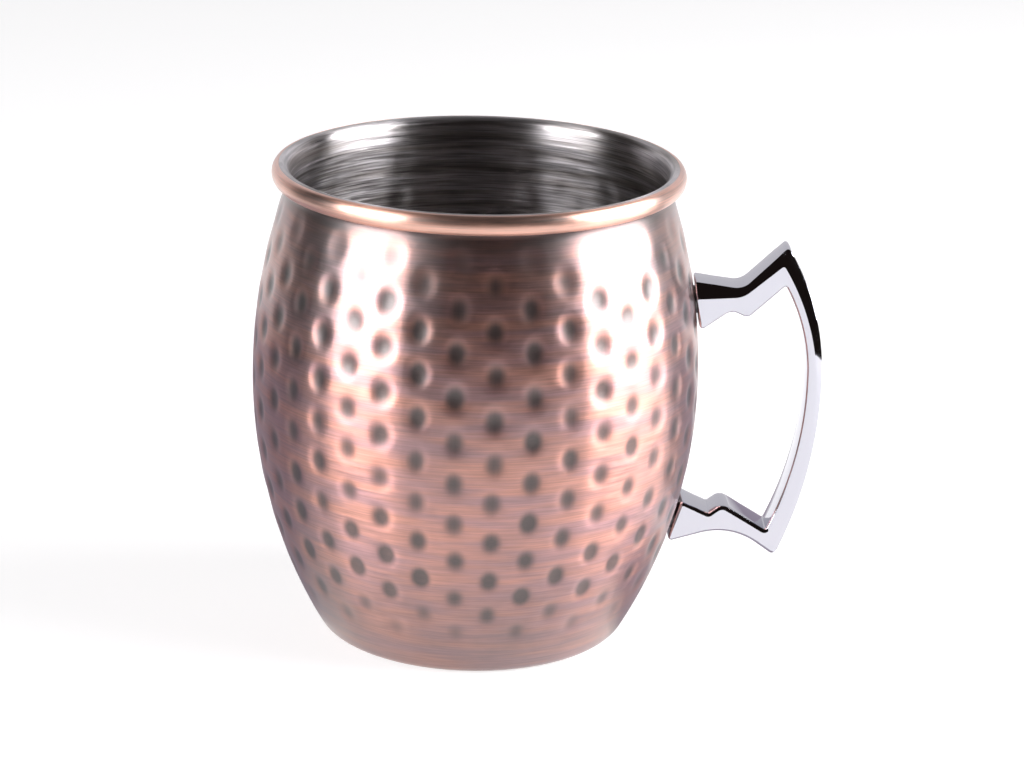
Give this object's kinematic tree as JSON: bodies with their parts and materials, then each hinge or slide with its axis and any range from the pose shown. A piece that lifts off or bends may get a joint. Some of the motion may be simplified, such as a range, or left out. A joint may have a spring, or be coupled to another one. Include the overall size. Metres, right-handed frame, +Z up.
{
  "type": "mug",
  "caption": "Barrel-shaped drinking mug in antique copper over steel, with a dimpled wall, a rolled rim and an angular polished cast handle.",
  "frame": {"origin": "centre of the foot ring, on the surface that the mug stands on", "axes": "+Z up along the cup's axis, +X from the axis towards the handle, +Y across the handle"},
  "size_m": [0.1186, 0.093, 0.1],
  "materials": {
    "brushed_stainless": "drawn stainless steel, brushed around the axis",
    "antique_copper": "copper plating, darkened and then brushed around the axis",
    "polished_chrome": "polished chrome plating on a zinc casting",
    "plain_steel": "plain turned steel",
    "weld_metal": "dark weld metal"
  },
  "bodies": {
    "root": {"steel_cup": "brushed_stainless", "copper_skin": "antique_copper", "handle": "polished_chrome", "upper_weld_pin": "plain_steel", "lower_weld_pin": "plain_steel", "upper_weld_bead": "weld_metal", "lower_weld_bead": "weld_metal"}
  },
  "joints": []
}
